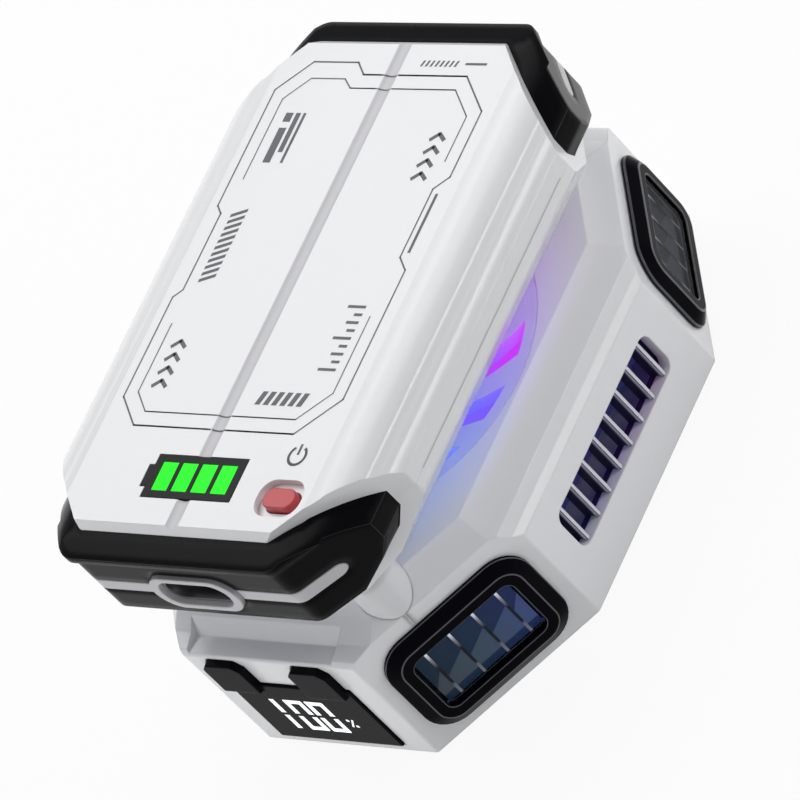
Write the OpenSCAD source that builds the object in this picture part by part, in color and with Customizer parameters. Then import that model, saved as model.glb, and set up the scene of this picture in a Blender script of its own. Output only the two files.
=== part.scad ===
// Phone cooling fan: a cooler block that sits on the back of a phone, with a battery docked on top of it.
// Frame: X across, Y along (charging port at -Y), Z up, origin under the middle of the cooler. Millimetres.

/* [Cooler body] */
// Length of the cooler
body_l = 70; // [66:0.5:76]
// Width of the cooler
body_w = 51.4; // [49:0.2:56]
// Width that each cut corner takes off an end
corner_x = 13.2; // [11.5:0.1:14.5]
// Length that each cut corner takes off a side
corner_y = 18.9; // [17:0.1:21]
// Height of the flat deck round the fan
deck_h = 20.6; // [20.4:0.1:21]
// Height at which the long sides turn into the roof
side_h = 15.6; // [15:0.1:16.2]
// Height at which the ends turn into the roof
end_h = 16.9; // [16.8:0.1:17.1]
// Height of the cut corner faces
corner_h = 18.5; // [18:0.1:19]
// Thickness of the housing walls
wall = 1.6; // [1.2:0.1:2]
// Depth from the outside of the roof to its inside
roof_wall = 2.2; // [1.8:0.1:2.4]
// Height of the housing's lower edge above the phone
skirt_gap = 0.3; // [0.1:0.1:0.5]

/* [Finger notch] */
// Length of the notch above the display
notch_l = 21; // [16:0.5:24]
// Height of the notch's floor
notch_z = 17.2; // [17:0.1:17.8]
// Depth of the notch behind the end face
notch_depth = 2.5; // [2:0.1:3]
// Sideways place of the notch's middle
notch_x = -1.1; // [-1.5:0.1:0]

/* [Side grilles] */
// Length of each side slot
slot_l = 24; // [20:0.5:26]
// Height of each side slot
slot_h = 6.2; // [5:0.1:7]
// Height of the middle of the side slots
slot_z = 9; // [8.5:0.1:9.5]
// Corner radius of the side slots
slot_r = 1.4; // [0.8:0.1:2]
// Number of bars in each side slot
slot_bars = 8; // [6:1:10]
// Thickness of each bar
slot_bar_t = 0.5; // [0.4:0.05:0.8]
// Depth of the bars below the outside of the wall
slot_bar_sink = 0.3; // [0.2:0.05:0.6]

/* [Corner windows] */
// Length of each window frame
window_l = 19.6; // [17:0.1:20]
// Height of each window frame
window_h = 14.1; // [12:0.1:14.4]
// Height of the middle of the windows
window_z = 8.85; // [8.6:0.05:9.1]
// Corner radius of the frames
window_r = 3.8; // [3:0.1:4.5]
// How far the frames stand out from the corner faces
window_proud = 1.5; // [1:0.1:2]
// Width of the sloping border of the frames
window_border = 2.5; // [2:0.1:3]
// Number of upright bars behind each pane
window_bars = 4; // [2:1:5]
// Thickness of the panes
pane_t = 1; // [0.8:0.1:1.2]

/* [Display] */
// Width of the display panel
display_w = 18; // [14:0.5:20]
// Height of the display panel
display_h = 10.9; // [8:0.1:11]
// Height of the panel's lower edge
display_z = 1.5; // [1:0.1:1.6]
// Sideways place of the panel's middle
display_x = -0.4; // [-2:0.1:0]
// Width of each ear above the panel
ear_w = 5.5; // [5:0.1:6]
// Height of the ears
ear_h = 4.2; // [3.5:0.1:4.3]
// Space between the ears
ear_gap = 7; // [5:0.1:8]
// Sideways place of the ears from the panel's middle
ear_x = -0.6; // [-1:0.1:0]
// How far the ears stand out from the end wall
ear_proud = 0.9; // [0.5:0.05:1.1]
// Depth of the panel in the end wall
panel_t = 0.9; // [0.7:0.1:1.1]
// How far the panel stands out from the end wall
panel_proud = 0.35; // [0.2:0.05:0.5]

/* [Cold side] */
// Radius of the cold plate
plate_r = 13; // [11:0.1:14]
// Thickness of the contact pad
pad_t = 0.8; // [0.6:0.1:1]
// Thickness of the base cover
base_t = 2; // [1.8:0.1:2.4]
// Inner radius of the magnet ring
magnet_in = 15.2; // [14.8:0.1:16]
// Outer radius of the magnet ring
magnet_out = 19.4; // [18.5:0.1:20]
// Thickness of the magnet ring
magnet_t = 1.1; // [0.9:0.1:1.2]
// Side of the thermoelectric module
module_side = 24; // [20:0.5:26]
// Thickness of the thermoelectric module
module_t = 3; // [2.8:0.1:3.2]

/* [Heat sink] */
// Length of the heat sink across the cooler
sink_l = 40; // [36:0.5:42]
// Width of the heat sink along the cooler
sink_w = 31; // [28:0.5:33]
// Thickness of the heat sink's base
sink_base = 1.8; // [1.5:0.1:2]
// Thickness of the fins
fin_t = 0.6; // [0.5:0.05:0.8]
// Number of fins
fins = 15; // [11:1:17]

/* [Fan] */
// Outer radius of the fan frame
fan_frame_r = 19.3; // [18.8:0.1:19.4]
// Thickness of the fan frame's ring
fan_frame_wall = 1.1; // [0.8:0.1:1.2]
// Height of the fan frame
fan_frame_h = 5.9; // [5.6:0.1:6]
// Gap between the blade tips and the frame
tip_gap = 0.6; // [0.4:0.1:0.9]
// Radius of the rotor's hub
hub_r = 7.4; // [7:0.1:8]
// Height of the rotor's hub
hub_h = 4; // [3.8:0.1:4.2]
// Number of blades
blades = 9; // [7:1:11]
// Thickness of a blade
blade_t = 0.8; // [0.6:0.05:1]
// Lean of the blades from the axis
blade_lean = 48; // [40:1:55]
// Radius of the shaft
shaft_r = 0.75; // [0.6:0.05:0.9]
// Wall of the bearing sleeve
sleeve_wall = 0.8; // [0.6:0.05:1]
// Play between the shaft and its sleeve
shaft_play = 0.03; // [0.02:0.01:0.06]

/* [Intake grille] */
// How far the intake grille reaches past the fan frame
grille_lip = 1; // [0.8:0.1:1.1]
// Thickness of the intake grille
grille_t = 1.5; // [1.2:0.1:1.6]
// Width of the grille's outer ring
grille_rim = 1.5; // [1:0.1:1.8]
// Number of vanes
vanes = 14; // [10:1:16]
// Width of a vane
vane_w = 3.2; // [2.4:0.1:3.6]
// Angle at which a vane leaves the middle disc
vane_sweep = 42; // [30:1:48]
// Radius of the middle disc
grille_eye = 6.5; // [5:0.1:8]
// Thickness of the light ring
light_t = 1.1; // [0.9:0.1:1.2]

/* [Battery dock] */
// Radius of the round posts at the near end
post_r = 3.05; // [2.6:0.05:3.2]
// Sideways place of the posts
post_x = 14.6; // [14:0.1:15]
// Distance of the posts from the near end wall
post_inset = 8.4; // [8:0.1:9]
// Radius of the locating pin on a post
post_pin_r = 1.2; // [1:0.05:1.4]
// Height of the locating pins
post_pin_h = 1.3; // [1:0.1:1.5]
// Play of a pin or contact in its hole
dock_play = 0.15; // [0.1:0.01:0.25]
// Width of the contact block at the far end
dock_w = 16; // [12:0.5:20]
// Length of the contact block
dock_l = 5; // [4:0.1:6]
// Distance of the contact block from the far end wall
dock_inset = 8; // [7.5:0.1:8.5]
// Number of contact pins
contacts = 4; // [3:1:5]
// Radius of a contact pin
contact_r = 0.7; // [0.5:0.05:0.9]

/* [Battery] */
// Height of the battery's underside above the phone
battery_z = 23.7; // [23.4:0.1:24.2]
// Thickness of the battery
battery_h = 14.2; // [13.8:0.1:14.8]
// Width of the battery
battery_w = 49; // [47:0.2:51]
// Length of the white shell
shell_l = 63.8; // [61:0.2:66]
// Half width of the shell's ends between the cut corners
shell_end = 13.7; // [12.5:0.1:14.5]
// Length that each cut corner takes off the shell's sides
shell_corner = 11.6; // [10.5:0.1:13]
// How far the end caps stand out from the shell
cap_reach = 3.2; // [2.6:0.1:3.6]
// Depth of the caps inside the shell
cap_seat = 1.2; // [1:0.1:1.6]
// Radius of the shell's shoulders
shoulder_r = 8.6; // [8:0.1:9]
// Depth of the flutes along the shoulders
flute_depth = 0.16; // [0.1:0.02:0.24]
// Radius of the flutes
flute_r = 3.6; // [3:0.1:4.5]
// Height of the shell's sides above their lower edge
lip_h = 3.2; // [2.8:0.1:3.6]
// Width of the centre groove along the top
groove_w = 1.9; // [1.4:0.1:2.4]
// Depth of the centre groove
groove_depth = 0.3; // [0.1:0.05:0.4]
// Bevel along the ends of the shell
shell_bevel = 0.8; // [0.5:0.05:1]
// Clearance of inner pieces in the shell
shell_fit = 0.1; // [0.05:0.01:0.2]

/* [Port and inlay] */
// Height of the port's middle above the battery's underside
port_rise = 6.7; // [6.3:0.1:7.1]
// Width of the charging port's opening
port_w = 9; // [8.6:0.05:9.2]
// Height of the charging port's opening
port_h = 3.2; // [3:0.05:3.4]
// Wall of the port's metal shell
port_wall = 0.35; // [0.25:0.05:0.4]
// Width of the bezel round the port
bezel_w = 1.7; // [1.4:0.1:2]
// How far the bezel stands out from the cap
bezel_proud = 0.5; // [0.3:0.05:0.8]
// Width of the pale inlay strip
inlay_w = 1.7; // [1.4:0.1:2]
// Length of the inlay round each cut corner
inlay_run = 6.2; // [5:0.1:7]
// Thickness of the inlay
inlay_t = 0.8; // [0.6:0.1:1]

/* [Button and level display] */
// Sideways place of the power button
button_x = 13.3; // [12.5:0.1:13.8]
// Place of the power button from the middle
button_y = 26.9; // [26:0.1:27.4]
// Length of the power button
button_l = 4.5; // [4:0.1:5]
// Width of the power button
button_w = 2.5; // [2.2:0.1:2.8]
// Travel of the power button
button_travel = 0.6; // [0.4:0.05:0.8]
// Play of the power button in its hole
button_play = 0.15; // [0.1:0.01:0.25]
// Width of the level window
level_w = 13; // [11:0.2:14]
// Length of the level window
level_l = 5.3; // [4.5:0.1:6]
// Place of the level window from the middle
level_y = 25.1; // [24.8:0.1:25.4]
// Number of light bars
level_bars_n = 4; // [3:1:5]

/* [Hidden] */
$fn = 96;
eps = 0.02;
seat_fit = 0.03;
far = 200;
hx = body_w / 2;
hy = body_l / 2;
edge_r = 0.6;
corner_turn = atan2(corner_x, corner_y);
corner_l = norm([corner_x, corner_y]);
corner_d = ((hx - corner_x) * corner_y + hy * corner_x) / corner_l;
// Distance along a corner face from the foot of its perpendicular to its middle
corner_mid = ((hy - corner_y / 2) * corner_y - (hx - corner_x / 2) * corner_x) / corner_l;
grille_r = fan_frame_r + grille_lip;
deck_side = grille_r + 0.6;
deck_end = hy - 8.5;
deck_corner = corner_d - 3.1;
// Stack of the cold side, from the phone up
base_top = pad_t + base_t;
plate_z = 0.1;
plate_t = base_top - plate_z;
module_z = plate_z + plate_t;
sink_z = module_z + module_t;
fin_z = sink_z + sink_base;
plate_gap = 0.4;
// Stack of the fan, from the deck down, and the fins in between
ledge_t = 0.7;
grille_z = deck_h - grille_t;
light_z = grille_z - ledge_t - light_t;
fan_z = light_z - fan_frame_h;
fin_gap = 0.2;
fin_h = fan_z - fin_gap - fin_z;
// Fan pieces
spider_t = 1.2;
tip_r = fan_frame_r - fan_frame_wall - tip_gap;
hub_z = fan_z + spider_t + 0.5;
hub_wall = 0.8;
hub_roof = 0.9;
sleeve_r = shaft_r + sleeve_wall;
tube_wall = 0.6;
tube_r = sleeve_r + tube_wall;
sleeve_z = fan_z + 0.4;
sleeve_h = 3.1;
shaft_z = sleeve_z + 0.2;
magnet_wall = 0.7;
magnet_gap = 0.35;
rotor_magnet_out = hub_r - hub_wall;
stator_r = rotor_magnet_out - magnet_wall - magnet_gap;
stator_z = hub_z + 0.4;
stator_t = 1.8;
stator_poles = 6;
// Battery heights
top_z = battery_z + battery_h;
skin = 2;
top_skin = 1.6;
shoulder_x = battery_w / 2 - shoulder_r * sin(60);
lip_z = top_z - 4.4 - lip_h;
seam_z = lip_z + 1.3;
bottom_half = 16.6;
knee = [battery_w / 2 - 4.2, battery_z + 1.5];
cap_half = battery_w / 2 - skin;
cap_top = top_z - shell_bevel;
cap_bottom = battery_z + 2.4;
cap_arc_r = 15.3;
cap_arc_x = cap_half - 10.3;
inner_top = top_z - top_skin;
bead_z = top_z - 2.5;
face_step = 0.5;
cap_corner_r = 2.2;
bezel_seat = inlay_t + 0.4;
port_y = -(shell_l / 2 + cap_reach - face_step);
port_depth = 7.2;
port_z = battery_z + port_rise;
board_z = port_z + port_h / 2 + port_wall;
board_t = 1;
lamp_t = 0.9;
board_l = 11;
board_y = 2.2 - shell_l / 2;
inner_gap = 0.4;
press_gap = 0.15;
level_t = 0.6;
ear_cut = 0.9;
groove_r = (groove_w * groove_w / 4 + groove_depth * groove_depth) / (2 * groove_depth);
recess_z = top_z - 0.9;
button_z = top_z + 0.1;
flange_t = 0.6;
flange_w = 0.35;
screw_x = hx - corner_x - 1.3;
screw_y = hy - 5.8;
post_y = hy - post_inset;
dock_y = hy - dock_inset;
screw_r = 1;
screw_head_r = 1.9;
screw_head_h = 1.2;
boss_r = 2.3;
screw_l = 7;
// Depths of the dock's pieces in the roof and of their sockets' walls
post_seat = 5.5;
dock_seat = 6;
post_chamfer = 0.5;
socket_wall = 1;
socket_z = base_top + 8;
contact_fit = 0.1;
contact_rise = 0.6;
contact_rim = 0.3;

// Helpers for outlines

function unit(v) = v / norm(v);
function half_turn(a, p, b) = acos(unit(a - p) * unit(b - p)) / 2;
function tangent_run(a, p, b, r) = r / tan(half_turn(a, p, b));
function arc_centre(a, p, b, r) = p + unit(unit(a - p) + unit(b - p)) * r / sin(half_turn(a, p, b));
function arc_ends(a, p, b, r) = r == 0 ? [p] :
    [p + unit(a - p) * tangent_run(a, p, b, r), p + unit(b - p) * tangent_run(a, p, b, r)];
function before(points, i) = points[(i + len(points) - 1) % len(points)];
function after(points, i) = points[(i + 1) % len(points)];
function mirrored(points) = [for (i = [len(points) - 1:-1:0]) [-points[i][0], points[i][1]]];

// Convex outline with a radius for each corner
module rounded_outline(points, radii) {
    polygon([for (i = [0:len(points) - 1])
        each arc_ends(before(points, i), points[i], after(points, i), radii[i])]);
    for (i = [0:len(points) - 1])
        if (radii[i] > 0)
            translate(arc_centre(before(points, i), points[i], after(points, i), radii[i])) circle(radii[i]);
}

// Corners of an octagon with cut corners, moved in by t on every side
function octagon(half_x, half_y, cut_x, cut_y, t) =
    let (cut = norm([cut_x, cut_y]), nx = cut_y / cut, ny = cut_x / cut,
        d = nx * (half_x - cut_x) + ny * half_y - t,
        x = (d - ny * (half_y - t)) / nx, y = (d - nx * (half_x - t)) / ny)
    [[x, t - half_y], [half_x - t, -y], [half_x - t, y], [x, half_y - t],
        [-x, half_y - t], [t - half_x, y], [t - half_x, -y], [-x, t - half_y]];

module octagon_plan(points, r) { rounded_outline(points, [for (p = points) r]); }

module rounded_rect(w, h, r) {
    rounded_outline([[w / 2, h / 2], [-w / 2, h / 2], [-w / 2, -h / 2], [w / 2, -h / 2]], [r, r, r, r]);
}

module stadium(w, h) {
    square([w - h, h], center = true);
    for (side = [-1, 1]) translate([side * (w - h) / 2, 0]) circle(h / 2);
}

// Extrusions of an upright section along the object and across it
module along_y(length) { rotate([90, 0, 0]) linear_extrude(length, center = true) children(); }
module along_x(length) { rotate([90, 0, 90]) linear_extrude(length, center = true) children(); }

// Places of repeated pieces

// Faces of the four cut corners: x is along the face, y is up, z points out of it
module at_corner(sx, sy) {
    turn = sx > 0 ? sy * corner_turn : 180 - sy * corner_turn;
    rotate([0, 0, turn]) translate([corner_d, sx * sy * corner_mid, 0]) rotate([90, 0, 90]) children();
}

module at_four(x, y) {
    for (sx = [-1, 1], sy = [-1, 1]) translate([sx * x, sy * y, 0]) children();
}

module at_posts() {
    for (side = [-1, 1]) translate([side * post_x, -post_y, 0]) children();
}

module at_contacts() {
    step = dock_w / (contacts + 1);
    for (i = [1:contacts]) translate([i * step - dock_w / 2, dock_y, 0]) children();
}

// Cooler housing

// Sections that the roof is made of: long sides, ends and cut corners
module side_section() {
    half = [[hx, 0], [hx, side_h - 0.3], [hx - 0.75, side_h + 0.6], [hx - 1.3, side_h + 2],
        [deck_side, deck_h]];
    polygon(concat(half, mirrored(half)));
}

module end_section() {
    half = [[hy, 0], [hy, end_h], [hy - 0.5, end_h + 0.6], [hy - 2.4, end_h + 1], [hy - 7, deck_h - 0.3],
        [deck_end, deck_h]];
    polygon(concat(half, mirrored(half)));
}

module corner_section() {
    half = [[corner_d, 0], [corner_d, corner_h - 0.5], [corner_d - 0.5, corner_h], [deck_corner, deck_h]];
    polygon(concat(half, mirrored(half)));
}

// The block inside the outer faces, moved in by t at the walls and lowered by drop at the roof
module cooler_block(t, drop) {
    intersection() {
        linear_extrude(deck_h) octagon_plan(octagon(hx, hy, corner_x, corner_y, t), edge_r);
        translate([0, 0, -drop]) along_y(far) side_section();
        translate([0, 0, -drop]) along_x(far) end_section();
        translate([0, 0, -drop]) rotate([0, 0, corner_turn]) along_y(far) corner_section();
        translate([0, 0, -drop]) rotate([0, 0, -corner_turn]) along_y(far) corner_section();
    }
}

module slot_cut() {
    for (side = [-1, 1])
        translate([side * (hx - wall / 2), 0, slot_z]) along_x(3 * wall) rounded_rect(slot_l, slot_h, slot_r);
}

// A scoop with a flat floor, whose back and ends lean out as they rise
module finger_notch() {
    rise = 3;
    lean = 1;
    half = notch_l / 2;
    back = notch_depth - hy;
    intersection() {
        translate([notch_x, 0, notch_z]) along_x(notch_l + 2 * lean)
            polygon([[-hy - 1, 0], [back, 0], [back + rise, rise], [-hy - 1, rise]]);
        translate([notch_x, 0, notch_z]) along_y(far)
            polygon([[-half, 0], [half, 0], [half + lean, rise], [-half - lean, rise]]);
    }
}

module panel_outline(grow) {
    translate([0, display_z + display_h / 2])
        square([display_w + 2 * grow, display_h + 2 * grow], center = true);
}

module ears_outline(grow) {
    half = ear_w / 2 + grow;
    for (side = [-1, 1])
        translate([ear_x + side * (ear_gap + ear_w) / 2, display_z + display_h])
            polygon([[-half, -1], [half, -1], [half, ear_h - ear_cut], [half - ear_cut, ear_h + grow],
                [ear_cut - half, ear_h + grow], [-half, ear_h - ear_cut]]);
}

// A slab of the near end from outside the end wall to depth panel_t inside it
module display_slab(outside) {
    translate([display_x, -hy + panel_t, 0]) rotate([90, 0, 0]) linear_extrude(panel_t + outside) children();
}

module cooler_housing() {
    color([0.90, 0.90, 0.92]) difference() {
        union() {
            difference() {
                cooler_block(0, 0);
                cooler_block(wall, roof_wall);
            }
            intersection() {
                cooler_block(0, 0);
                union() {
                    translate([0, 0, grille_z - ledge_t]) cylinder(r = grille_r + 1, h = ledge_t);
                    at_four(screw_x, screw_y) translate([0, 0, base_top]) cylinder(r = boss_r, h = deck_h);
                    at_posts() translate([0, 0, socket_z]) cylinder(r = post_r + socket_wall, h = deck_h);
                    translate([0, dock_y, socket_z]) linear_extrude(deck_h)
                        square([dock_w + 2 * socket_wall, dock_l + 2 * socket_wall], center = true);
                }
            }
        }
        translate([0, 0, -1]) linear_extrude(skirt_gap + 1) square(far, center = true);
        translate([0, 0, -1]) linear_extrude(base_top + 1 + eps)
            octagon_plan(octagon(hx, hy, corner_x, corner_y, wall), edge_r);
        translate([0, 0, grille_z]) cylinder(r = grille_r, h = deck_h);
        translate([0, 0, fan_z]) cylinder(r = fan_frame_r - 0.4, h = deck_h);
        slot_cut();
        for (sx = [-1, 1], sy = [-1, 1]) at_corner(sx, sy) translate([0, window_z, -3 * wall])
            linear_extrude(4 * wall)
                rounded_rect(window_l - 2 * window_border, window_h - 2 * window_border,
                    window_r - window_border);
        finger_notch();
        display_slab(1) panel_outline(shell_fit);
        display_slab(1) ears_outline(shell_fit);
        at_four(screw_x, screw_y) translate([0, 0, base_top - eps])
            cylinder(r = screw_r + seat_fit, h = screw_l);
        at_posts() translate([0, 0, deck_h - post_seat]) cylinder(r = post_r + seat_fit, h = deck_h);
        translate([0, dock_y, deck_h - dock_seat]) linear_extrude(deck_h)
            square([dock_w, dock_l], center = true);
    }
}

// Cold side, from the phone up

module contact_pad() {
    color([0.20, 0.20, 0.22]) difference() {
        linear_extrude(pad_t) octagon_plan(octagon(hx, hy, corner_x, corner_y, wall + 0.4), edge_r);
        translate([0, 0, -1]) cylinder(r = plate_r + plate_gap, h = pad_t + 2);
        at_four(screw_x, screw_y) translate([0, 0, -1]) cylinder(r = screw_head_r + 0.2, h = pad_t + 2);
    }
}

module base_cover() {
    color([0.83, 0.83, 0.85]) translate([0, 0, pad_t]) difference() {
        linear_extrude(base_t) octagon_plan(octagon(hx, hy, corner_x, corner_y, wall + shell_fit), edge_r);
        translate([0, 0, -1]) cylinder(r = plate_r + plate_gap, h = base_t + 2);
        difference() {
            translate([0, 0, -1]) cylinder(r = magnet_out + 0.1, h = magnet_t + 1);
            translate([0, 0, -2]) cylinder(r = magnet_in - 0.1, h = magnet_t + 4);
        }
        at_four(screw_x, screw_y) {
            translate([0, 0, -1]) cylinder(r = screw_r + 0.1, h = base_t + 2);
            translate([0, 0, -1]) cylinder(r = screw_head_r + 0.1, h = screw_head_h + 1);
        }
    }
}

module magnet_ring() {
    color([0.62, 0.63, 0.65]) translate([0, 0, pad_t]) difference() {
        cylinder(r = magnet_out, h = magnet_t);
        translate([0, 0, -1]) cylinder(r = magnet_in, h = magnet_t + 2);
    }
}

module cold_plate() {
    color([0.78, 0.79, 0.80]) translate([0, 0, plate_z]) {
        cylinder(r = plate_r, h = plate_t);
        translate([0, 0, plate_t - 0.4]) cylinder(r = plate_r - 0.6, h = 0.4);
    }
}

module peltier_module() {
    ceramic = 0.7;
    legs = 7;
    pitch = module_side / legs;
    color([0.93, 0.93, 0.90]) translate([0, 0, module_z]) {
        for (z = [0, module_t - ceramic])
            translate([-module_side / 2, -module_side / 2, z]) cube([module_side, module_side, ceramic]);
        for (i = [0:legs - 1], j = [0:legs - 1])
            translate([(i + 0.5 - legs / 2) * pitch, (j + 0.5 - legs / 2) * pitch, module_t / 2])
                cube([1.5, 1.5, module_t - ceramic], center = true);
    }
}

module heat_sink() {
    pitch = (sink_w - fin_t) / (fins - 1);
    color([0.30, 0.31, 0.34]) {
        translate([-sink_l / 2, -sink_w / 2, sink_z]) cube([sink_l, sink_w, sink_base]);
        for (i = [0:fins - 1])
            translate([-sink_l / 2, i * pitch - sink_w / 2, fin_z - eps]) cube([sink_l, fin_t, fin_h + eps]);
    }
}

// Fan

module fan_frame() {
    arms = 3;
    color([0.16, 0.16, 0.18]) translate([0, 0, fan_z]) difference() {
        union() {
            difference() {
                cylinder(r = fan_frame_r, h = fan_frame_h);
                translate([0, 0, -1]) cylinder(r = fan_frame_r - fan_frame_wall, h = fan_frame_h + 2);
            }
            cylinder(r = hub_r, h = spider_t);
            for (i = [0:arms - 1])
                rotate([0, 0, i * 360 / arms]) translate([0, -1.2, 0])
                    cube([fan_frame_r - fan_frame_wall / 2, 2.4, spider_t]);
            cylinder(r = tube_r, h = sleeve_z - fan_z + sleeve_h);
        }
        translate([0, 0, sleeve_z - fan_z]) cylinder(r = sleeve_r, h = fan_frame_h);
    }
}

module fan_bearing() {
    color([0.72, 0.56, 0.28]) translate([0, 0, sleeve_z]) difference() {
        cylinder(r = sleeve_r, h = sleeve_h);
        translate([0, 0, 0.2]) cylinder(r = shaft_r + shaft_play, h = sleeve_h);
    }
}

module fan_shaft() {
    color([0.75, 0.76, 0.78]) translate([0, 0, shaft_z + 0.05])
        cylinder(r = shaft_r, h = hub_z + hub_h - hub_roof / 2 - shaft_z);
}

module stator_core() {
    color([0.45, 0.46, 0.48]) translate([0, 0, stator_z]) linear_extrude(stator_t) difference() {
        union() {
            circle(tube_r + 1);
            for (i = [0:stator_poles - 1]) rotate(i * 360 / stator_poles) {
                translate([0, -0.5]) square([stator_r - 0.4, 1]);
                intersection() {
                    difference() {
                        circle(stator_r);
                        circle(stator_r - 0.7);
                    }
                    translate([stator_r - 1, -1.8]) square([2, 3.6]);
                }
            }
        }
        circle(tube_r + eps);
    }
}

module stator_coils() {
    reach = stator_r - 0.8 - tube_r - 1;
    color([0.72, 0.42, 0.22]) for (i = [0:stator_poles - 1]) rotate([0, 0, i * 360 / stator_poles])
        translate([tube_r + 1.1, 0, stator_z]) difference() {
            translate([0, -0.8, -0.25]) cube([reach - 0.1, 1.6, stator_t + 0.5]);
            translate([-1, -0.5, 0]) cube([reach + 2, 1, stator_t]);
        }
}

// A blade leans over its chord and is cut to the hub and to the tip circle
module fan_blade() {
    intersection() {
        difference() {
            cylinder(r = tip_r, h = hub_h);
            translate([0, 0, -1]) cylinder(r = hub_r - hub_wall / 2, h = hub_h + 2);
        }
        translate([0, 0, hub_h / 2]) rotate([blade_lean, 0, 0])
            translate([0, -far / 2, -blade_t / 2]) cube([far, far, blade_t]);
        translate([0, -hub_r, 0]) cube([far, 2 * hub_r, hub_h]);
    }
}

module fan_rotor() {
    color([0.90, 0.88, 0.96]) translate([0, 0, hub_z]) difference() {
        union() {
            cylinder(r = hub_r, h = hub_h);
            for (i = [0:blades - 1]) rotate([0, 0, i * 360 / blades]) fan_blade();
        }
        translate([0, 0, -1]) cylinder(r = rotor_magnet_out, h = hub_h - hub_roof + 1);
        translate([0, 0, -1]) cylinder(r = shaft_r, h = hub_h - hub_roof / 2 + 1 + 0.05);
    }
}

module rotor_magnet() {
    height = hub_h - hub_roof - 0.2;
    color([0.25, 0.25, 0.27]) translate([0, 0, hub_z + 0.2]) difference() {
        cylinder(r = rotor_magnet_out, h = height);
        translate([0, 0, -1]) cylinder(r = rotor_magnet_out - magnet_wall, h = height + 2);
    }
}

module light_ring() {
    color([0.78, 0.72, 0.95]) translate([0, 0, light_z]) difference() {
        cylinder(r = fan_frame_r, h = light_t);
        translate([0, 0, -1]) cylinder(r = fan_frame_r - 1.3, h = light_t + 2);
    }
}

// Spiral vanes run from the middle disc to the outer ring
// Plan of one curved vane, whose width grows with the radius
module vane() {
    steps = 8;
    half_turn = vane_w / (2 * grille_r * cos(vane_sweep)) * 180 / PI;
    radii = [for (i = [0:steps]) grille_eye - 1 + (grille_r - grille_eye + 1) * i / steps];
    function edge(r, side) = let (turn = tan(vane_sweep) * ln(r / grille_eye) * 180 / PI + side * half_turn)
        [r * cos(turn), r * sin(turn)];
    polygon(concat([for (r = radii) edge(r, -1)], [for (i = [steps:-1:0]) edge(radii[i], 1)]));
}

module intake_grille() {
    color([0.88, 0.88, 0.92]) translate([0, 0, grille_z]) linear_extrude(grille_t) {
        difference() {
            circle(grille_r - shell_fit);
            circle(grille_r - grille_rim);
        }
        circle(grille_eye);
        intersection() {
            circle(grille_r - grille_rim / 2);
            for (i = [0:vanes - 1]) rotate(i * 360 / vanes) vane();
        }
    }
}

// Corner windows: a bezel with sloping sides, bars behind the pane, and the pane

module window_bezel() {
    inner_l = window_l - 2 * window_border;
    inner_h = window_h - 2 * window_border;
    inner_r = window_r - window_border;
    seat = 2 * wall;
    pitch = inner_l / (window_bars + 1);
    color([0.06, 0.06, 0.07]) {
        difference() {
            union() {
                hull() {
                    linear_extrude(0.5) rounded_rect(window_l, window_h, window_r, $fn = 32);
                    linear_extrude(window_proud)
                        rounded_rect(window_l - 3, window_h - 3, window_r - 1.5, $fn = 32);
                }
                translate([0, 0, -seat]) linear_extrude(seat + 0.2)
                    rounded_rect(inner_l - 2 * shell_fit, inner_h - 2 * shell_fit, inner_r);
            }
            translate([0, 0, window_proud - pane_t - 0.3]) linear_extrude(pane_t + 1)
                rounded_rect(inner_l - 0.6, inner_h - 0.6, inner_r);
            translate([0, 0, -seat - 1]) linear_extrude(seat + 3)
                rounded_rect(inner_l - 2, inner_h - 2, inner_r - 0.6);
        }
        for (i = [1:window_bars])
            translate([i * pitch - inner_l / 2 - 0.3, 1 - inner_h / 2 - eps, -seat])
                cube([0.6, inner_h - 2 + 2 * eps, seat + 0.1]);
    }
}

module window_pane() {
    inner_l = window_l - 2 * window_border - 0.6 - 2 * shell_fit;
    inner_h = window_h - 2 * window_border - 0.6 - 2 * shell_fit;
    color([0.08, 0.13, 0.26]) translate([0, 0, window_proud - pane_t - 0.3])
        linear_extrude(pane_t) rounded_rect(inner_l, inner_h, window_r - window_border);
}

module corner_bezel(sx, sy) { at_corner(sx, sy) translate([0, window_z, 0]) window_bezel(); }
module corner_pane(sx, sy) { at_corner(sx, sy) translate([0, window_z, 0]) window_pane(); }
module near_right_frame() { corner_bezel(1, -1); }
module near_left_frame() { corner_bezel(-1, -1); }
module far_right_frame() { corner_bezel(1, 1); }
module far_left_frame() { corner_bezel(-1, 1); }
module near_right_pane() { corner_pane(1, -1); }
module near_left_pane() { corner_pane(-1, -1); }
module far_right_pane() { corner_pane(1, 1); }
module far_left_pane() { corner_pane(-1, 1); }

// Side grilles: a frame inside the wall round the slot, and bars that stand in the slot

module side_grille(side) {
    frame_t = 0.9;
    overlap = 0.7;
    pitch = slot_l / slot_bars;
    frame_x = hx - wall - frame_t;
    color([0.92, 0.92, 0.94]) mirror([side < 0 ? 1 : 0, 0, 0]) {
        translate([frame_x + frame_t / 2, 0, slot_z]) along_x(frame_t) difference() {
            rounded_rect(slot_l + 3, slot_h + 3, slot_r + 1.5);
            rounded_rect(slot_l + shell_fit, slot_h + shell_fit, slot_r);
        }
        for (i = [0:slot_bars - 1]) translate([0, (i + 0.5) * pitch - slot_l / 2 - slot_bar_t / 2, slot_z]) {
            translate([frame_x, 0, -slot_h / 2 - overlap]) cube([frame_t, slot_bar_t, slot_h + 2 * overlap]);
            translate([frame_x, 0, shell_fit - slot_h / 2])
                cube([frame_t + wall - slot_bar_sink, slot_bar_t, slot_h - 2 * shell_fit]);
        }
    }
}

module right_grille() { side_grille(1); }
module left_grille() { side_grille(-1); }

// Display and electronics of the cooler

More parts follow.
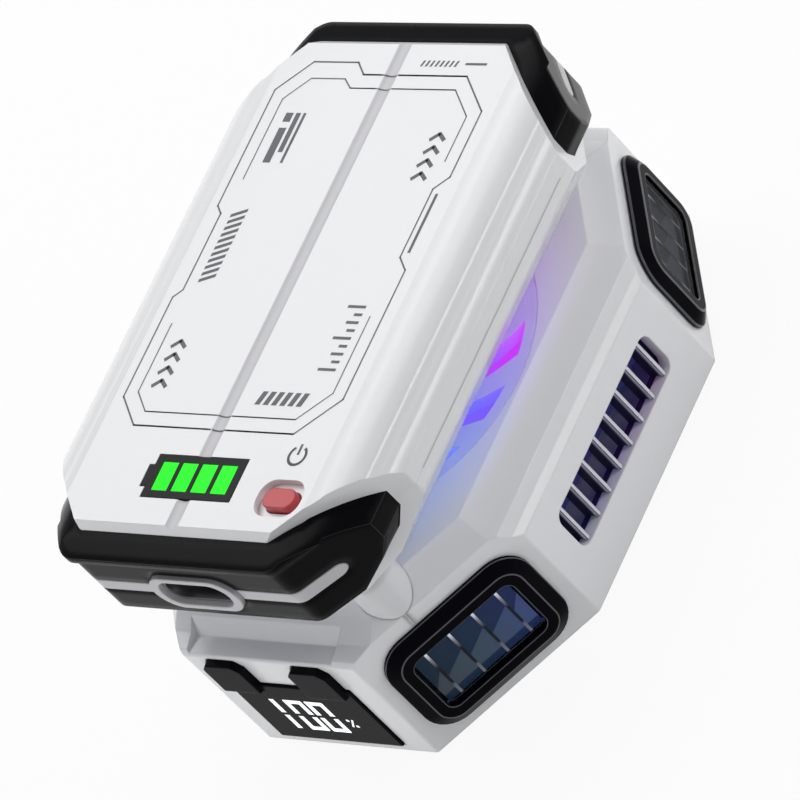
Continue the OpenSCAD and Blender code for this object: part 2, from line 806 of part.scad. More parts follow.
module display_panel() {
    color([0.07, 0.07, 0.08]) {
        display_slab(panel_proud) panel_outline(0);
        display_slab(ear_proud) ears_outline(0);
    }
}

module display_module() {
    margin = 2;
    color([0.15, 0.15, 0.17]) translate([display_x, -hy + wall + lamp_t / 2, display_z + display_h / 2])
        cube([display_w - 2 * margin, lamp_t, display_h - 2 * margin], center = true);
}

module control_board() {
    margin = 0.8;
    low = base_top + inner_gap;
    high = display_z + display_h - margin;
    chip = [6, 1, 5];
    color([0.10, 0.30, 0.20]) translate([display_x, -hy + wall + lamp_t, (low + high) / 2]) {
        translate([0, board_t / 2, 0]) cube([display_w - 2 * margin, board_t, high - low], center = true);
        translate([0, board_t + chip[1] / 2 - eps, 0]) cube(chip, center = true);
    }
}

// Battery dock

module dock_posts() {
    color([0.93, 0.93, 0.94]) at_posts() {
        translate([0, 0, deck_h - post_seat])
            cylinder(r = post_r, h = battery_z - deck_h + post_seat - post_chamfer);
        translate([0, 0, battery_z - post_chamfer])
            cylinder(r1 = post_r, r2 = post_r - post_chamfer, h = post_chamfer);
        translate([0, 0, battery_z - eps]) cylinder(r = post_pin_r, h = post_pin_h + eps);
    }
}

module dock_block() {
    color([0.12, 0.12, 0.13]) difference() {
        translate([0, dock_y, deck_h - dock_seat]) linear_extrude(battery_z - deck_h + dock_seat)
            square([dock_w, dock_l], center = true);
        at_contacts() cylinder(r = contact_r, h = far);
    }
}

module dock_pins() {
    color([0.80, 0.64, 0.30]) at_contacts()
        translate([0, 0, deck_h - dock_seat])
            cylinder(r = contact_r, h = battery_z - deck_h + dock_seat + contact_rise);
}

module base_screws() {
    color([0.55, 0.56, 0.58]) at_four(screw_x, screw_y) difference() {
        union() {
            translate([0, 0, pad_t + 0.1]) cylinder(r = screw_head_r, h = screw_head_h - 0.1);
            translate([0, 0, pad_t + screw_head_h - eps])
                cylinder(r = screw_r, h = screw_l - 1);
        }
        translate([0, 0, pad_t]) for (turn = [0, 90]) rotate([0, 0, turn])
            translate([-1.1, -0.25, -1]) cube([2.2, 0.5, 1.6]);
    }
}

// Battery

// Outer section of the white shell
module shell_section() {
    side = battery_w / 2;
    half = [[side, top_z], [side, lip_z], [side - 0.4, lip_z - 0.8], knee, [bottom_half, battery_z]];
    difference() {
        polygon(concat([for (i = [len(half) - 1:-1:0]) half[i]], [for (p = half) [-p[0], p[1]]]));
        for (sx = [0, 1]) mirror([sx, 0]) {
            translate([shoulder_x, top_z - shoulder_r]) difference() {
                square(shoulder_r + 2);
                circle(shoulder_r);
            }
            for (lean = [8, 41]) translate([shoulder_x, top_z - shoulder_r]) rotate(-lean)
                translate([0, shoulder_r + flute_r - flute_depth]) circle(flute_r);
        }
    }
}

// Section of the end caps, which is also the hollow of the shell
module cap_section(grow) {
    half = [[cap_half + grow, cap_top + grow], [cap_half + grow, lip_z + 0.2],
        [cap_half - 1.1 + grow, lip_z - 2], [cap_half - 3.7 + grow, cap_bottom - grow]];
    difference() {
        polygon(concat([for (i = [len(half) - 1:-1:0]) half[i]], [for (p = half) [-p[0], p[1]]]));
        for (sx = [0, 1]) mirror([sx, 0]) translate([cap_arc_x, cap_top - cap_arc_r]) difference() {
            square(cap_arc_r + 2);
            circle(cap_arc_r + grow);
        }
    }
}

function shell_plan(t) =
    octagon(battery_w / 2, shell_l / 2, battery_w / 2 - shell_end, shell_corner, t);

module shell_block() {
    intersection() {
        along_y(far) shell_section();
        linear_extrude(far) octagon_plan(shell_plan(0), edge_r);
        rotate([90, 0, 90]) linear_extrude(far, center = true)
            polygon([[-shell_l / 2, 0], [shell_l / 2, 0], [shell_l / 2, cap_top],
                [shell_l / 2 - shell_bevel, top_z], [shell_bevel - shell_l / 2, top_z],
                [-shell_l / 2, cap_top]]);
    }
}

module shell_hollow() {
    intersection() {
        along_y(far) cap_section(shell_fit);
        translate([0, 0, -far + inner_top + shell_fit]) linear_extrude(far) square(far, center = true);
    }
}

module at_button() { translate([button_x, -button_y, 0]) children(); }
module at_level() { translate([0, -level_y, 0]) children(); }

module battery_top_shell() {
    color([0.92, 0.92, 0.94]) difference() {
        shell_block();
        shell_hollow();
        translate([0, 0, seam_z - far]) linear_extrude(far) square(far, center = true);
        translate([0, 0, top_z - groove_depth + groove_r]) along_y(far) circle(groove_r);
        at_level() translate([0, 0, top_z - level_t]) linear_extrude(1) level_outline(shell_fit);
        at_level() translate([0, 0, inner_top - 1]) linear_extrude(3)
            square([level_w - 1.6, level_l - 1.2], center = true);
        at_button() {
            translate([0, 0, recess_z]) linear_extrude(2) rounded_rect(button_l + 1.9, button_w + 2.1, 2);
            translate([0, 0, inner_top - 2]) linear_extrude(6)
                stadium(button_l + 2 * button_play, button_w + 2 * button_play);
        }
    }
}

module battery_tray() {
    color([0.88, 0.88, 0.90]) difference() {
        shell_block();
        shell_hollow();
        translate([0, 0, seam_z - eps / 2]) linear_extrude(far) square(far, center = true);
        at_posts() translate([0, 0, battery_z - 1]) cylinder(r = post_pin_r + dock_play, h = post_pin_h + 1.3);
        at_contacts() translate([0, 0, battery_z - 1])
            cylinder(r = contact_r + dock_play + contact_rim, h = 4);
    }
}

// An end cap: the part outside the shell carries a bead over its set-back face, the plug sits in the shell
module end_cap() {
    slope = 0.25;
    reach = shell_l / 2 + cap_reach;
    intersection() {
        along_y(far) cap_section(0);
        union() {
            difference() {
                union() {
                    translate([0, 0, bead_z]) linear_extrude(far)
                        octagon_plan(shell_plan(-cap_reach), cap_corner_r);
                    linear_extrude(bead_z + eps) octagon_plan(shell_plan(face_step - cap_reach), cap_corner_r);
                }
                linear_extrude(far) octagon_plan(shell_plan(-eps), edge_r);
            }
            linear_extrude(inner_top) difference() {
                octagon_plan(shell_plan(-0.5), edge_r);
                octagon_plan(shell_plan(cap_seat), edge_r);
            }
        }
        rotate([90, 0, 90]) linear_extrude(far, center = true)
            polygon([[-far, 0], [-far, cap_top - 5], [-reach, cap_top - slope * cap_reach],
                [-shell_l / 2, cap_top], [-10, cap_top], [-10, 0]]);
    }
}

// Room for the inlay strip: a band of the end face at port height
module inlay_band(grow, depth) {
    outer = shell_plan(face_step - cap_reach);
    inner = shell_plan(face_step - cap_reach + depth);
    band_half = outer[0][0] + inlay_run * unit(outer[1] - outer[0])[0];
    intersection() {
        difference() {
            linear_extrude(far) octagon_plan(outer, cap_corner_r);
            linear_extrude(far) octagon_plan(inner, cap_corner_r - depth / 2);
        }
        translate([0, -hy, port_z]) rotate([90, 0, 0]) linear_extrude(40, center = true)
            stadium(2 * band_half + 2 * grow, inlay_w + 2 * grow);
    }
}

module port_cut(grow) {
    translate([0, -hy, port_z]) rotate([90, 0, 0]) linear_extrude(30, center = true)
        stadium(port_w + 2 * port_wall + 2 * grow, port_h + 2 * port_wall + 2 * grow);
}

module bezel_cut(grow) {
    translate([0, port_y + bezel_seat, port_z]) rotate([90, 0, 0]) linear_extrude(20)
        stadium(port_w + 2 * bezel_w + 2 * grow, port_h + 2 * bezel_w - 1 + 2 * grow);
}

module near_cap() {
    color([0.05, 0.05, 0.06]) difference() {
        end_cap();
        inlay_band(shell_fit, inlay_t);
        port_cut(shell_fit);
        bezel_cut(shell_fit);
    }
}

module far_cap() {
    color([0.05, 0.05, 0.06]) rotate([0, 0, 180]) difference() {
        end_cap();
        inlay_band(shell_fit, inlay_t);
    }
}

module near_inlay() {
    color([0.78, 0.78, 0.80]) difference() {
        inlay_band(0, inlay_t - shell_fit);
        bezel_cut(shell_fit);
    }
}

module far_inlay() {
    color([0.78, 0.78, 0.80]) rotate([0, 0, 180]) inlay_band(0, inlay_t - shell_fit);
}

module port_bezel() {
    depth = bezel_seat - shell_fit + bezel_proud;
    color([0.80, 0.80, 0.82]) translate([0, port_y - bezel_proud + depth, port_z]) rotate([90, 0, 0])
        linear_extrude(depth) difference() {
            stadium(port_w + 2 * bezel_w, port_h + 2 * bezel_w - 1);
            stadium(port_w + 2 * port_wall + 2 * shell_fit, port_h + 2 * port_wall + 2 * shell_fit);
        }
}

module usb_port() {
    color([0.70, 0.71, 0.73]) translate([0, port_y + 0.2, port_z]) rotate([-90, 0, 0]) {
        linear_extrude(port_depth) difference() {
            stadium(port_w + 2 * port_wall, port_h + 2 * port_wall);
            stadium(port_w, port_h);
        }
        translate([0, 0, port_depth - 0.8]) linear_extrude(0.8) stadium(port_w + 0.2, port_h + 0.2);
        translate([-3.35, -0.35, 1]) cube([6.7, 0.7, port_depth - 1.4]);
    }
}

// The cell reaches from behind the board to where the far cap's cut corners close in on it
module battery_cell() {
    cell_w = 36;
    cell_h = 8.4;
    corner = shell_plan(cap_seat + inner_gap);
    run = (cell_w / 2 - corner[3][0]) / (corner[2][0] - corner[3][0]);
    far_y = corner[3][1] + run * (corner[2][1] - corner[3][1]);
    near_y = board_y + board_l + inner_gap;
    cell_r = 1.8;
    color([0.35, 0.42, 0.50]) translate([0, (far_y + near_y) / 2, cap_bottom + cell_h / 2 + inner_gap])
        along_y(far_y - near_y) rounded_rect(cell_w, cell_h, cell_r);
}

module battery_board() {
    board_w = 25;
    board_edge = 3.2;
    chip = [5, 3, 1];
    color([0.10, 0.30, 0.20]) {
        intersection() {
            translate([button_x + board_edge - board_w, board_y, board_z]) cube([board_w, board_l, board_t]);
            linear_extrude(far) octagon_plan(shell_plan(cap_seat + inner_gap), edge_r);
        }
        translate([-level_w / 2, level_l / 2 + inner_gap - level_y, board_z + board_t - eps]) cube(chip);
    }
}

module button_switch() {
    base = [3.6, 3.2, 1];
    plunger_r = 0.8;
    plunger_h = inner_top - flange_t - button_travel - press_gap - board_z - board_t;
    color([0.25, 0.25, 0.27]) at_button() {
        translate([-base[0] / 2, -base[1] / 2, board_z + board_t]) cube(base);
        translate([0, 0, board_z + board_t]) cylinder(r = plunger_r, h = plunger_h);
    }
}

// The level window is shaped like a cell with its end terminal
module level_outline(grow) {
    tip_l = 0.8;
    square([level_w + 2 * grow, level_l + 2 * grow], center = true);
    translate([-level_w / 2 - tip_l / 2 + eps, 0])
        square([tip_l + 2 * grow, level_l / 2 + 2 * grow], center = true);
}

module level_window() {
    color([0.06, 0.06, 0.07]) at_level() {
        translate([0, 0, top_z - level_t + eps]) linear_extrude(level_t) difference() {
            level_outline(0);
            level_slots(0.05);
        }
    }
}

module level_slots(grow) {
    margin = 0.75;
    rim = 0.9;
    gap = 0.7;
    pitch = (level_w - 2 * margin) / level_bars_n;
    for (i = [0:level_bars_n - 1])
        translate([(i + 0.5) * pitch + margin - level_w / 2, 0])
            square([pitch - gap + 2 * grow, level_l - 2 * rim + 2 * grow], center = true);
}

module level_bars() {
    color([0.05, 0.95, 0.10]) at_level() translate([0, 0, board_z + board_t])
        linear_extrude(top_z - board_z - board_t) level_slots(0);
}

module power_button() {
    color([0.78, 0.25, 0.28]) at_button() {
        translate([0, 0, inner_top - flange_t]) linear_extrude(flange_t - 0.05)
            stadium(button_l + 2 * flange_w, button_w + 2 * flange_w);
        translate([0, 0, inner_top - flange_t]) linear_extrude(button_z - inner_top + flange_t)
            stadium(button_l, button_w);
    }
}

module battery_contacts() {
    contact_t = 1.6;
    color([0.80, 0.64, 0.30]) at_contacts()
        translate([0, 0, battery_z + contact_rise + contact_fit])
            cylinder(r = contact_r + dock_play + contact_rim - shell_fit, h = contact_t);
}

cooler_housing();
base_cover();
contact_pad();
magnet_ring();
cold_plate();
peltier_module();
heat_sink();
fan_frame();
fan_bearing();
stator_core();
stator_coils();
fan_rotor();
rotor_magnet();
fan_shaft();
intake_grille();
light_ring();
near_right_frame();
near_left_frame();
far_right_frame();
far_left_frame();
near_right_pane();
near_left_pane();
far_right_pane();
far_left_pane();
right_grille();
left_grille();
display_panel();
display_module();
control_board();
dock_posts();
dock_block();
dock_pins();
base_screws();
battery_top_shell();
battery_tray();
near_cap();
far_cap();
near_inlay();
far_inlay();
port_bezel();
usb_port();
battery_cell();
battery_board();
button_switch();
level_window();
level_bars();
power_button();
battery_contacts();
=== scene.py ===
# Looks of a phone cooling fan with a battery docked on top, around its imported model. Metres, in the model's frame:
# X across, Y along (charging port at -Y), Z up from the phone's back.
import math

import bpy
from mathutils import Matrix, Vector
from mathutils.bvhtree import BVHTree


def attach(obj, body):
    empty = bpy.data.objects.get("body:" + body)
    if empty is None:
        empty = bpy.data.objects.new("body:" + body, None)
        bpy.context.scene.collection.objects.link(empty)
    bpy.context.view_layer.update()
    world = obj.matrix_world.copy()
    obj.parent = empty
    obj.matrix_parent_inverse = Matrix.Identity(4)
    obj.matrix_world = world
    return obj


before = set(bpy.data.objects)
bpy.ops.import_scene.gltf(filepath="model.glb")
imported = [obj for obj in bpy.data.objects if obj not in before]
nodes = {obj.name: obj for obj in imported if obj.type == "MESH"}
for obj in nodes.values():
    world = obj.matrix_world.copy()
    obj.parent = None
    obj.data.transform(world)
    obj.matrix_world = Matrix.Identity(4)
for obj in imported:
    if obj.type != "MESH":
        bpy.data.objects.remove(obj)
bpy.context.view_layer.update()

# Camera
# A long lens from above the near right corner, rolled, as the photograph was taken. Its place and turn were fitted to
# the object's edges.
camera_place = Vector((0.59947, -0.34303, 0.57436))
camera_right = Vector((0.73664, 0.39788, -0.54686))
camera_up = Vector((-0.03934, 0.83246, 0.55268))
camera = bpy.data.objects.new("camera", bpy.data.cameras.new("camera"))
camera.data.sensor_width = 36
camera.data.lens = 368.2
turn = Matrix((camera_right, camera_up, camera_right.cross(camera_up))).transposed()
camera.matrix_world = Matrix.Translation(camera_place) @ turn.to_4x4()
bpy.context.scene.collection.objects.link(camera)
bpy.context.scene.camera = camera
bpy.context.scene.view_settings.view_transform = "Standard"

# Studio
# A room that is bright at the horizon and dim overhead. A broad soft lamp hangs to the left, a narrower one and a strip
# on the far right draw the ridges of light on the shoulders and the roof, and a low lamp lights the near end.
world = bpy.data.worlds.new("studio")
bpy.context.scene.world = world
world.use_nodes = True
room = world.node_tree
room_place = room.nodes.new("ShaderNodeTexCoord")
room_split = room.nodes.new("ShaderNodeSeparateXYZ")
room_ramp = room.nodes.new("ShaderNodeValToRGB")
room_steps = room_ramp.color_ramp.elements
room_steps[0].color = (0.56, 0.57, 0.59, 1)
room_steps[1].color = (0.18, 0.18, 0.19, 1)
for height, level in ((0.25, 0.46), (0.55, 0.22)):
    room_steps.new(height).color = (level, level, 1.02 * level, 1)
room.links.new(room_place.outputs["Generated"], room_split.inputs[0])
room.links.new(room_split.outputs["Z"], room_ramp.inputs["Fac"])
room.links.new(room_ramp.outputs["Color"], room.nodes["Background"].inputs["Color"])


def softbox(name, place, aim, width, height, watts):
    """A rectangular lamp that faces a point. Metres and watts."""
    lamp = bpy.data.lights.new(name, "AREA")
    lamp.shape = "RECTANGLE"
    lamp.size = width
    lamp.size_y = height
    lamp.energy = watts
    holder = bpy.data.objects.new(name, lamp)
    holder.location = place
    holder.rotation_euler = (Vector(aim) - Vector(place)).to_track_quat("-Z", "Y").to_euler()
    bpy.context.scene.collection.objects.link(holder)


softbox("overhead_lamp", place=(-0.16, 0.10, 0.36), aim=(0, 0.03, 0.02), width=0.36, height=0.36, watts=1.10)
softbox("roof_lamp", place=(0.36, 0.22, 0.30), aim=(0, 0, 0.02), width=0.30, height=0.08, watts=0.46)
softbox("right_lamp", place=(0.45, 0.38, 0.20), aim=(0, 0, 0.02), width=0.40, height=0.03, watts=0.20)
softbox("front_lamp", place=(-0.20, -0.46, 0.06), aim=(0, 0, 0.01), width=0.30, height=0.12, watts=0.48)

# Floor
# A pale sheet of paper under the object, a hair below its pad. It keeps the shadow, and shows white to the camera and
# in reflections.
mm = 0.001
floor_mesh = bpy.data.meshes.new("floor")
floor_half = 3.0
floor_drop = -0.2 * mm
floor_white = 0.92
floor_corners = [(-1, -1), (1, -1), (1, 1), (-1, 1)]
floor_mesh.from_pydata([(x * floor_half, y * floor_half, floor_drop) for x, y in floor_corners], [], [(0, 1, 2, 3)])
floor = bpy.data.objects.new("floor", floor_mesh)
bpy.context.scene.collection.objects.link(floor)
floor_paper = bpy.data.materials.new("floor_paper")
floor_paper.use_nodes = True
paper = floor_paper.node_tree
paper.nodes["Principled BSDF"].inputs["Base Color"].default_value = (0.9, 0.9, 0.9, 1)
paper.nodes["Principled BSDF"].inputs["Roughness"].default_value = 1.0
paper_glow = paper.nodes.new("ShaderNodeEmission")
paper_path = paper.nodes.new("ShaderNodeLightPath")
paper_share = paper.nodes.new("ShaderNodeMath")
paper_share.operation = "MULTIPLY"
paper_share.inputs[1].default_value = floor_white
paper_mix = paper.nodes.new("ShaderNodeMixShader")
paper_sight = paper_path.outputs["Is Camera Ray"]
for kind in ("Is Glossy Ray", "Is Transmission Ray"):
    either = paper.nodes.new("ShaderNodeMath")
    either.operation = "MAXIMUM"
    paper.links.new(paper_sight, either.inputs[0])
    paper.links.new(paper_path.outputs[kind], either.inputs[1])
    paper_sight = either.outputs[0]
paper.links.new(paper_sight, paper_share.inputs[0])
paper.links.new(paper_share.outputs[0], paper_mix.inputs["Fac"])
paper.links.new(paper.nodes["Principled BSDF"].outputs[0], paper_mix.inputs[1])
paper.links.new(paper_glow.outputs[0], paper_mix.inputs[2])
paper.links.new(paper_mix.outputs[0], paper.nodes["Material Output"].inputs["Surface"])
floor_mesh.materials.append(floor_paper)


def soften(node, width, segments=3, angle=22, flat=0.4, rim=-1):
    """Rounds the edges of a CAD piece that turn by more than angle degrees. The rims can have their own slot."""
    piece = nodes[node]
    weld = piece.modifiers.new("weld", "WELD")
    weld.merge_threshold = 0.002 * mm
    if flat:
        plane = piece.modifiers.new("flats", "DECIMATE")
        plane.decimate_type = "DISSOLVE"
        plane.angle_limit = math.radians(flat)
    if width:
        round_off = piece.modifiers.new("edges", "BEVEL")
        round_off.width = width * mm
        round_off.segments = segments
        round_off.limit_method = "ANGLE"
        round_off.angle_limit = math.radians(angle)
        round_off.use_clamp_overlap = True
        round_off.material = rim
    for face in piece.data.polygons:
        face.use_smooth = True
    normals = piece.modifiers.new("normals", "WEIGHTED_NORMAL")
    normals.keep_sharp = False
    normals.weight = 80


def moulding_group():
    """Shader group: slow colour drift, smeared gloss and a fine moulded ripple, in object space."""
    group = bpy.data.node_groups.new("moulded_surface", "ShaderNodeTree")
    ports = group.interface
    for label, kind, value in [("Colour", "NodeSocketColor", (0.8, 0.8, 0.8, 1)), ("Drift", "NodeSocketFloat", 0.03),
                               ("Gloss", "NodeSocketFloat", 0.3), ("Smear", "NodeSocketFloat", 0.08),
                               ("Grain", "NodeSocketFloat", 2500.0)]:
        port = ports.new_socket(label, in_out="INPUT", socket_type=kind)
        port.default_value = value
    for label, kind in [("Colour", "NodeSocketColor"), ("Roughness", "NodeSocketFloat"), ("Height", "NodeSocketFloat")]:
        ports.new_socket(label, in_out="OUTPUT", socket_type=kind)
    tree = group.nodes
    take = tree.new("NodeGroupInput")
    give = tree.new("NodeGroupOutput")
    place = tree.new("ShaderNodeTexCoord")
    slow = tree.new("ShaderNodeTexNoise")
    slow.inputs["Scale"].default_value = 60
    slow.inputs["Detail"].default_value = 3
    fine = tree.new("ShaderNodeTexNoise")
    fine.inputs["Detail"].default_value = 2
    smear = tree.new("ShaderNodeTexNoise")
    smear.inputs["Scale"].default_value = 120
    smear.inputs["Detail"].default_value = 4
    for texture in (slow, fine, smear):
        group.links.new(place.outputs["Object"], texture.inputs["Vector"])
    group.links.new(take.outputs["Grain"], fine.inputs["Scale"])
    shade = tree.new("ShaderNodeMath")
    shade.operation = "MULTIPLY_ADD"
    group.links.new(slow.outputs["Fac"], shade.inputs[0])
    group.links.new(take.outputs["Drift"], shade.inputs[1])
    shade.inputs[2].default_value = 0.97
    tint = tree.new("ShaderNodeVectorMath")
    tint.operation = "SCALE"
    group.links.new(take.outputs["Colour"], tint.inputs[0])
    group.links.new(shade.outputs[0], tint.inputs["Scale"])
    group.links.new(tint.outputs[0], give.inputs["Colour"])
    gloss = tree.new("ShaderNodeMath")
    gloss.operation = "MULTIPLY_ADD"
    group.links.new(smear.outputs["Fac"], gloss.inputs[0])
    group.links.new(take.outputs["Smear"], gloss.inputs[1])
    group.links.new(take.outputs["Gloss"], gloss.inputs[2])
    group.links.new(gloss.outputs[0], give.inputs["Roughness"])
    group.links.new(fine.outputs["Fac"], give.inputs["Height"])
    return group


moulded = moulding_group()


def moulded_plastic(name, colour, gloss=0.25, smear=0.1, drift=0.04, grain=2500, bump=0.03, metal=0.0, shine=0.5,
                    crease=0.0):
    """A moulded finish that uses the shared surface group. Creases are rounded over by crease millimetres."""
    material = bpy.data.materials.new(name)
    material.use_nodes = True
    tree = material.node_tree
    shader = tree.nodes["Principled BSDF"]
    surface = tree.nodes.new("ShaderNodeGroup")
    surface.node_tree = moulded
    surface.inputs["Colour"].default_value = (*colour, 1)
    surface.inputs["Drift"].default_value = drift
    surface.inputs["Gloss"].default_value = gloss
    surface.inputs["Smear"].default_value = smear
    surface.inputs["Grain"].default_value = grain
    ripple = tree.nodes.new("ShaderNodeBump")
    ripple.inputs["Strength"].default_value = bump
    ripple.inputs["Distance"].default_value = 0.02 * mm
    tree.links.new(surface.outputs["Colour"], shader.inputs["Base Color"])
    tree.links.new(surface.outputs["Roughness"], shader.inputs["Roughness"])
    tree.links.new(surface.outputs["Height"], ripple.inputs["Height"])
    tree.links.new(ripple.outputs["Normal"], shader.inputs["Normal"])
    if crease:
        fillet = tree.nodes.new("ShaderNodeBevel")
        fillet.samples = 6
        fillet.inputs["Radius"].default_value = crease * mm
        tree.links.new(fillet.outputs["Normal"], ripple.inputs["Normal"])
    shader.inputs["Metallic"].default_value = metal
    shader.inputs["Specular IOR Level"].default_value = shine
    return material


def dress(material, *names):
    """Gives CAD pieces one finish."""
    for name in names:
        nodes[name].data.materials.clear()
        nodes[name].data.materials.append(material)


def painted_ring_light_group():
    """Shader group: painted light, the colour that the light ring would throw on what is near it, in object space."""
    group = bpy.data.node_groups.new("painted_ring_light", "ShaderNodeTree")
    ports = group.interface
    for label, value in [("Inner", 0.018), ("Outer", 0.030), ("Low", 0.017), ("High", 0.020)]:
        ports.new_socket(label, in_out="INPUT", socket_type="NodeSocketFloat").default_value = value
    ports.new_socket("Colour", in_out="OUTPUT", socket_type="NodeSocketColor")
    tree = group.nodes
    take = tree.new("NodeGroupInput")
    give = tree.new("NodeGroupOutput")
    place = tree.new("ShaderNodeTexCoord")
    split = tree.new("ShaderNodeSeparateXYZ")
    group.links.new(place.outputs["Object"], split.inputs[0])
    spread = tree.new("ShaderNodeCombineXYZ")
    group.links.new(split.outputs["X"], spread.inputs["X"])
    group.links.new(split.outputs["Y"], spread.inputs["Y"])
    radius = tree.new("ShaderNodeVectorMath")
    radius.operation = "LENGTH"
    group.links.new(spread.outputs[0], radius.inputs[0])
    masks = []
    for value, start, end in ((radius.outputs["Value"], "Outer", "Inner"), (split.outputs["Z"], "Low", "High")):
        mask = tree.new("ShaderNodeMapRange")
        mask.interpolation_type = "SMOOTHSTEP"
        group.links.new(value, mask.inputs["Value"])
        group.links.new(take.outputs[start], mask.inputs["From Min"])
        group.links.new(take.outputs[end], mask.inputs["From Max"])
        masks.append(mask)
    both = tree.new("ShaderNodeMath")
    both.operation = "MULTIPLY"
    for i, mask in enumerate(masks):
        group.links.new(mask.outputs["Result"], both.inputs[i])
    along = tree.new("ShaderNodeMapRange")
    along.inputs["From Min"].default_value = -20 * mm
    along.inputs["From Max"].default_value = 20 * mm
    group.links.new(split.outputs["Y"], along.inputs["Value"])
    ramp = tree.new("ShaderNodeValToRGB")
    steps = ramp.color_ramp.elements
    steps[0].color = (0.04, 0.30, 0.85, 1)
    steps[1].color = (0.34, 0.14, 0.55, 1)
    for spot, colour in ((0.32, (0.08, 0.20, 1.0)), (0.5, (0.16, 0.14, 0.95)), (0.68, (0.28, 0.14, 0.80))):
        steps.new(spot).color = (*colour, 1)
    group.links.new(along.outputs["Result"], ramp.inputs["Fac"])
    tint = tree.new("ShaderNodeVectorMath")
    tint.operation = "SCALE"
    group.links.new(ramp.outputs["Color"], tint.inputs[0])
    group.links.new(both.outputs[0], tint.inputs["Scale"])
    group.links.new(tint.outputs[0], give.inputs["Colour"])
    return group


painted_ring_light = painted_ring_light_group()


def add_painted_ring_light(material, strength, inner, outer, low, high):
    """Paints the light ring's colour on a finish as a glow, which stands in for the ring's light falling on it."""
    tree = material.node_tree
    haze = tree.nodes.new("ShaderNodeGroup")
    haze.node_tree = painted_ring_light
    for label, value in (("Inner", inner), ("Outer", outer), ("Low", low), ("High", high)):
        haze.inputs[label].default_value = value * mm
    shader = tree.nodes["Principled BSDF"]
    tree.links.new(haze.outputs["Colour"], shader.inputs["Emission Color"])
    shader.inputs["Emission Strength"].default_value = strength


housing_white = moulded_plastic("housing_white", (0.90, 0.905, 0.92), gloss=0.18, smear=0.02, drift=0.03, crease=0.3)
# Painted light: the deck around the grille glows in the ring's colours.
add_painted_ring_light(housing_white, 0.16, 19, 31, 19.2, 20.6)
dress(housing_white, "cooler_housing")
soften("cooler_housing", 0.6, segments=4, angle=8)

# Cold side
# A soft pad glued under a grey cover, four screws, a nickel plated magnet ring and a lapped aluminium plate. Above
# them a ceramic cooler and a dark anodised heat sink. The heat sink glows faintly blue, painted light that stands in
# for the light ring's light behind the side slots.
dress(moulded_plastic("pad_silicone", (0.035, 0.035, 0.04), gloss=0.6, smear=0.15, grain=6000, bump=0.2), "contact_pad")
dress(moulded_plastic("cover_grey", (0.58, 0.58, 0.60), gloss=0.5, smear=0.1, grain=5000, bump=0.15), "base_cover")
dress(moulded_plastic("lapped_aluminium", (0.62, 0.63, 0.65), gloss=0.22, smear=0.15, grain=9000, bump=0.1, metal=1.0),
      "cold_plate")
dress(moulded_plastic("nickel_plate", (0.55, 0.54, 0.52), gloss=0.15, smear=0.1, metal=1.0),
      "magnet_ring", "rotor_magnet")
dress(moulded_plastic("screw_steel", (0.42, 0.42, 0.43), gloss=0.3, smear=0.15, metal=1.0),
      "base_screws", "stator_core", "fan_shaft")
dress(moulded_plastic("white_ceramic", (0.75, 0.75, 0.72), gloss=0.6, smear=0.1, grain=8000, bump=0.1),
      "peltier_module")
dark_anodised = moulded_plastic("dark_anodised", (0.05, 0.05, 0.07), gloss=0.38, smear=0.1, grain=9000, bump=0.1,
                                metal=0.7)
# Painted light: a faint blue glow on the heat sink stands in for the ring's light.
heat_sink_painted_glow_shader = dark_anodised.node_tree.nodes["Principled BSDF"]
heat_sink_painted_glow_shader.inputs["Emission Color"].default_value = (0.10, 0.12, 0.55, 1)
heat_sink_painted_glow_shader.inputs["Emission Strength"].default_value = 0.14
dress(dark_anodised, "heat_sink")
for name in ("contact_pad", "base_cover", "cold_plate", "base_screws"):
    soften(name, 0.15)

# Light ring
# A clear plastic guide seated under the grille. It is lit from the board below and glows from blue at the near end to
# magenta at the far end.


def glow_group():
    """Shader group: the light ring's own colours, by the place along the cooler, in object space."""
    group = bpy.data.node_groups.new("ring_glow", "ShaderNodeTree")
    ports = group.interface
    for label, value in [("Blue End", -13 * mm), ("Magenta End", 7 * mm)]:
        ports.new_socket(label, in_out="INPUT", socket_type="NodeSocketFloat").default_value = value
    ports.new_socket("Colour", in_out="OUTPUT", socket_type="NodeSocketColor")
    tree = group.nodes
    take = tree.new("NodeGroupInput")
    give = tree.new("NodeGroupOutput")
    place = tree.new("ShaderNodeTexCoord")
    split = tree.new("ShaderNodeSeparateXYZ")
    along = tree.new("ShaderNodeMapRange")
    ramp = tree.new("ShaderNodeValToRGB")
    ramp.color_ramp.elements[0].color = (0.16, 0.32, 0.90, 1)
    ramp.color_ramp.elements[1].color = (0.66, 0.03, 0.92, 1)
    for spot, colour in ((0.42, (0.14, 0.14, 0.98)), (0.66, (0.22, 0.08, 0.95))):
        ramp.color_ramp.elements.new(spot).color = (*colour, 1)
    group.links.new(place.outputs["Object"], split.inputs[0])
    group.links.new(split.outputs["Y"], along.inputs["Value"])
    group.links.new(take.outputs["Blue End"], along.inputs["From Min"])
    group.links.new(take.outputs["Magenta End"], along.inputs["From Max"])
    group.links.new(along.outputs["Result"], ramp.inputs["Fac"])
    group.links.new(ramp.outputs["Color"], give.inputs["Colour"])
    return group


ring_glow = glow_group()


def own_and_painted_ring_glow(material, strength):
    """Gives a finish the light ring's colours as a glow. On the light guide it is the ring's own light; on the parts
    near it, painted light.
    """
    tree = material.node_tree
    glow = tree.nodes.new("ShaderNodeGroup")
    glow.node_tree = ring_glow
    shader = tree.nodes["Principled BSDF"]
    tree.links.new(glow.outputs["Colour"], shader.inputs["Emission Color"])
    shader.inputs["Emission Strength"].default_value = strength


light_guide = moulded_plastic("light_guide", (0.4, 0.3, 0.7), gloss=0.35, smear=0.05)
own_and_painted_ring_glow(light_guide, 1.1)
dress(light_guide, "light_ring")
